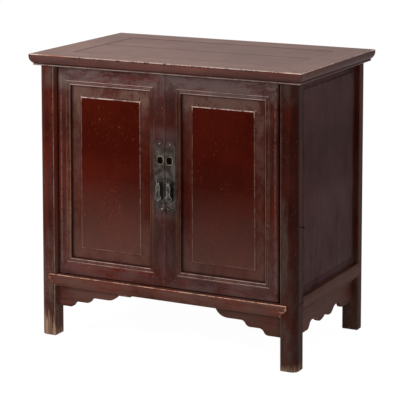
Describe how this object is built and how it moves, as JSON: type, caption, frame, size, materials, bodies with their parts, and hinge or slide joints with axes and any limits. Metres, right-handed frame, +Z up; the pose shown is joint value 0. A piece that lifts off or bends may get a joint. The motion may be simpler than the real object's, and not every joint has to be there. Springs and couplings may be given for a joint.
{
  "type": "kang cabinet",
  "caption": "Low wooden cabinet with leaning round-edged legs, pivot-hung panelled doors, metal lock plates with hanging pulls, carved aprons and an overhanging moulded top.",
  "frame": {"origin": "on the floor, under the middle of the top", "axes": "+X to the cabinet's right as seen from the front, along its width; +Y to the back; +Z up"},
  "size_m": [0.9, 0.566, 0.886],
  "materials": {
    "red_brown_lacquer": "glossy lacquer, worn at the edges",
    "worn_brown_lacquer": "worn lacquer with a soft shine",
    "dark_red_lacquer": "glossy lacquer",
    "bare_wood": "aged, unfinished",
    "dark_iron": "dull, rubbed brighter on raised parts"
  },
  "bodies": {
    "cabinet": {"back_muntin": "bare_wood", "back_rail": "bare_wood", "back_top_board": "worn_brown_lacquer", "floor_board_1": "bare_wood", "floor_board_2": "bare_wood", "floor_board_3": "bare_wood", "floor_board_4": "bare_wood", "front_rail": "red_brown_lacquer", "front_top_board": "worn_brown_lacquer", "left_back_leg": "red_brown_lacquer", "left_back_panel": "bare_wood", "left_front_bracket": "red_brown_lacquer", "left_front_leg": "red_brown_lacquer", "left_shelf_bearer": "bare_wood", "left_side_apron": "red_brown_lacquer", "left_side_panel": "dark_red_lacquer", "left_side_rail": "red_brown_lacquer", "left_top_frame_side": "worn_brown_lacquer", "right_back_leg": "red_brown_lacquer", "right_back_panel": "bare_wood", "right_front_bracket": "red_brown_lacquer", "right_front_leg": "red_brown_lacquer", "right_shelf_bearer": "bare_wood", "right_side_apron": "red_brown_lacquer", "right_side_panel": "dark_red_lacquer", "right_side_rail": "red_brown_lacquer", "right_top_frame_side": "worn_brown_lacquer", "shelf_board_1": "bare_wood", "shelf_board_2": "bare_wood", "shelf_board_3": "bare_wood", "top_battens": "bare_wood", "top_frame_back": "worn_brown_lacquer", "top_frame_front": "worn_brown_lacquer"},
    "left_door": {"left_door_battens": "bare_wood", "left_door_bottom_rail": "red_brown_lacquer", "left_door_hinge_stile": "red_brown_lacquer", "left_door_meeting_stile": "red_brown_lacquer", "left_door_panel": "dark_red_lacquer", "left_door_top_rail": "red_brown_lacquer", "left_lock_plate": "dark_iron", "left_lock_plate_nails": "dark_iron", "left_pull_pin": "dark_iron"},
    "right_door": {"right_door_battens": "bare_wood", "right_door_bottom_rail": "red_brown_lacquer", "right_door_hinge_stile": "red_brown_lacquer", "right_door_meeting_stile": "red_brown_lacquer", "right_door_panel": "dark_red_lacquer", "right_door_top_rail": "red_brown_lacquer", "right_lock_plate": "dark_iron", "right_lock_plate_nails": "dark_iron", "right_pull_pin": "dark_iron"},
    "left_pull_drop": {"left_pull": "dark_iron"},
    "right_pull_drop": {"right_pull": "dark_iron"}
  },
  "joints": [
    {"name": "right_door_hinge", "type": "hinge", "parent": "cabinet", "child": "right_door", "pos_m": [0.3675, -0.238, 0], "axis": [-0.0118, 0, 0.9999], "range_deg": [0, 95]},
    {"name": "left_door_hinge", "type": "hinge", "parent": "cabinet", "child": "left_door", "pos_m": [-0.3675, -0.238, 0], "axis": [-0.0118, 0, -0.9999], "range_deg": [0, 95]},
    {"name": "right_pull_swing", "type": "hinge", "parent": "right_door", "child": "right_pull_drop", "pos_m": [0.0175, -0.266, 0.5308], "axis": [-1, 0, 0], "range_deg": [-8, 80]},
    {"name": "left_pull_swing", "type": "hinge", "parent": "left_door", "child": "left_pull_drop", "pos_m": [-0.0175, -0.266, 0.5308], "axis": [-1, 0, 0], "range_deg": [-8, 80]}
  ]
}
